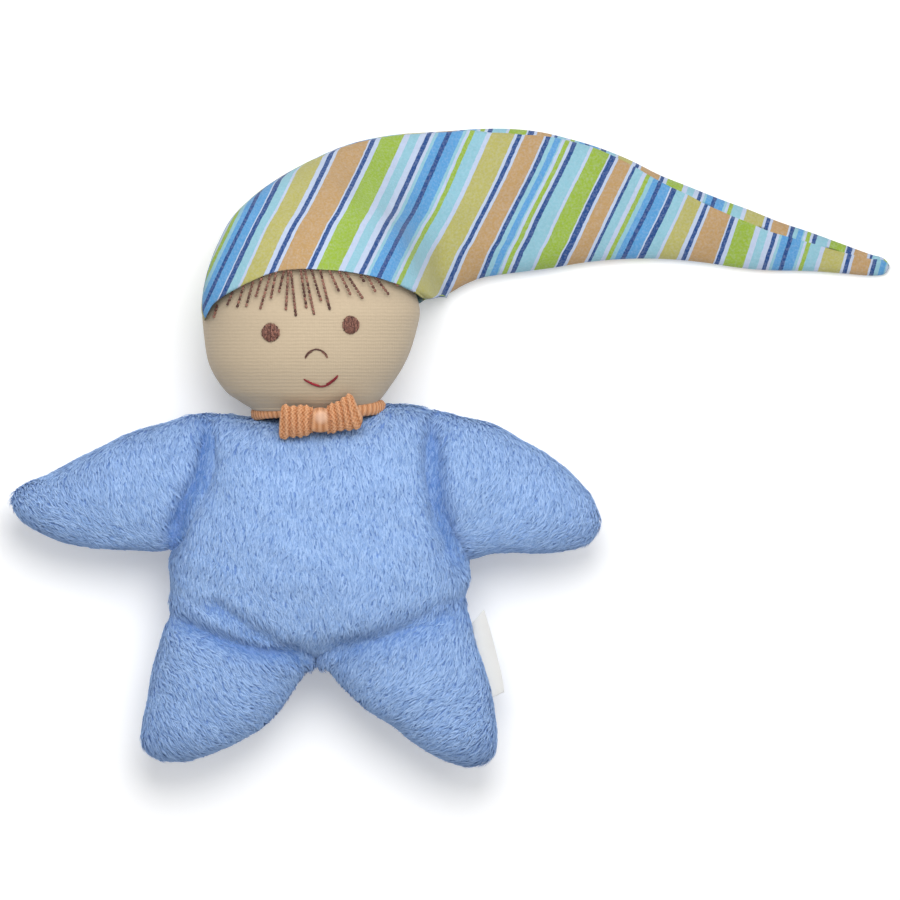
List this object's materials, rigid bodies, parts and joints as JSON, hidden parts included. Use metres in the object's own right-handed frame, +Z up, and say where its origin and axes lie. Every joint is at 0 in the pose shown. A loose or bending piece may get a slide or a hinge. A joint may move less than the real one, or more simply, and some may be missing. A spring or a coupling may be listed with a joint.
{
  "type": "rattle doll",
  "caption": "Soft lying rattle doll: star-shaped plush body with folding limbs, jersey head, long striped cap, knitted neck bow and a hard rattle ball inside.",
  "frame": {"origin": "middle of the flat patch of the doll's back, on the surface that it lies on", "axes": "+Z up out of the chest and face, +Y towards the head, +X towards the doll's own left, along which the cap's tail lies"},
  "size_m": [0.2646, 0.1937, 0.057],
  "materials": {
    "blue_plush": "matte",
    "skin_jersey": "matte",
    "striped_cotton": "matte",
    "orange_knit": "matte",
    "brown_thread": "satin",
    "red_thread": "satin",
    "pale_thread": "satin",
    "white_ribbon": "satin",
    "rattle_plastic": "satin",
    "pellet_plastic": "satin"
  },
  "bodies": {
    "body": {"torso": "blue_plush", "closing_stitches": "pale_thread", "rattle_front_half": "rattle_plastic", "rattle_back_half": "rattle_plastic"},
    "pellet_1": {"rattle_pellet_1": "pellet_plastic"},
    "pellet_2": {"rattle_pellet_2": "pellet_plastic"},
    "pellet_3": {"rattle_pellet_3": "pellet_plastic"},
    "pellet_4": {"rattle_pellet_4": "pellet_plastic"},
    "left_arm": {"left_arm": "blue_plush"},
    "right_arm": {"right_arm": "blue_plush"},
    "left_leg": {"left_leg": "blue_plush"},
    "right_leg": {"right_leg": "blue_plush"},
    "label": {"side_label": "white_ribbon"},
    "neck": {"neck_filling": "skin_jersey", "neck_tie": "pale_thread", "neck_band": "orange_knit", "bow_left_wing": "orange_knit", "bow_right_wing": "orange_knit", "bow_knot": "orange_knit"},
    "head": {"head": "skin_jersey", "left_eye": "brown_thread", "right_eye": "brown_thread", "nose_stitch": "brown_thread", "mouth_stitch": "red_thread", "fringe_stitches": "brown_thread", "cap_crown": "striped_cotton"},
    "cap_tail": {"cap_tail_upper": "striped_cotton"},
    "cap_tip": {"cap_tail_tip": "striped_cotton"}
  },
  "joints": [
    {"name": "left_arm_fold", "type": "hinge", "parent": "body", "child": "left_arm", "pos_m": [0.0405, 0.01546, 0.022], "axis": [0.1822, -0.9833, 0], "range_deg": [-12, 45], "stiffness_Nm_per_rad": 0.12},
    {"name": "right_arm_fold", "type": "hinge", "parent": "body", "child": "right_arm", "pos_m": [-0.04027, 0.01659, 0.022], "axis": [0.2419, 0.9703, 0], "range_deg": [-12, 45], "stiffness_Nm_per_rad": 0.15},
    {"name": "left_leg_fold", "type": "hinge", "parent": "body", "child": "left_leg", "pos_m": [0.02201, -0.02801, 0.022], "axis": [-0.933, -0.36, 0], "range_deg": [-12, 45], "stiffness_Nm_per_rad": 0.18},
    {"name": "right_leg_fold", "type": "hinge", "parent": "body", "child": "right_leg", "pos_m": [-0.023, -0.02948, 0.022], "axis": [-0.9489, 0.3156, 0], "range_deg": [-12, 45], "stiffness_Nm_per_rad": 0.15},
    {"name": "label_flap", "type": "hinge", "parent": "left_leg", "child": "label", "pos_m": [0.04485, -0.02219, 0.02188], "axis": [0.2891, -0.9564, -0.042], "range_deg": [-60, 60], "stiffness_Nm_per_rad": 0.0005},
    {"name": "head_tilt", "type": "hinge", "parent": "body", "child": "neck", "pos_m": [-0.0005, 0.03883, 0.025], "axis": [0, 0, 1], "range_deg": [-8, 4], "stiffness_Nm_per_rad": 0.2},
    {"name": "head_nod", "type": "hinge", "parent": "neck", "child": "head", "pos_m": [-0.0005, 0.0405, 0.04], "axis": [1, 0, 0], "range_deg": [0, 20], "stiffness_Nm_per_rad": 0.2},
    {"name": "cap_tail_fold", "type": "hinge", "parent": "head", "child": "cap_tail", "pos_m": [0.04604, 0.10066, 0.007], "axis": [0, -1, 0], "range_deg": [0, 60]},
    {"name": "cap_tip_fold", "type": "hinge", "parent": "cap_tail", "child": "cap_tip", "pos_m": [0.10478, 0.09648, 0.00415], "axis": [0, -1, 0], "range_deg": [0, 75]},
    {"name": "pellet_1_bounce", "type": "slide", "parent": "body", "child": "pellet_1", "axis": [0, 0, 1], "range_m": [0, 0.016]},
    {"name": "pellet_2_bounce", "type": "slide", "parent": "body", "child": "pellet_2", "axis": [0, 0, 1], "range_m": [0, 0.016]},
    {"name": "pellet_3_bounce", "type": "slide", "parent": "body", "child": "pellet_3", "axis": [0, 0, 1], "range_m": [0, 0.016]},
    {"name": "pellet_4_bounce", "type": "slide", "parent": "body", "child": "pellet_4", "axis": [0, 0, 1], "range_m": [0, 0.016]}
  ]
}
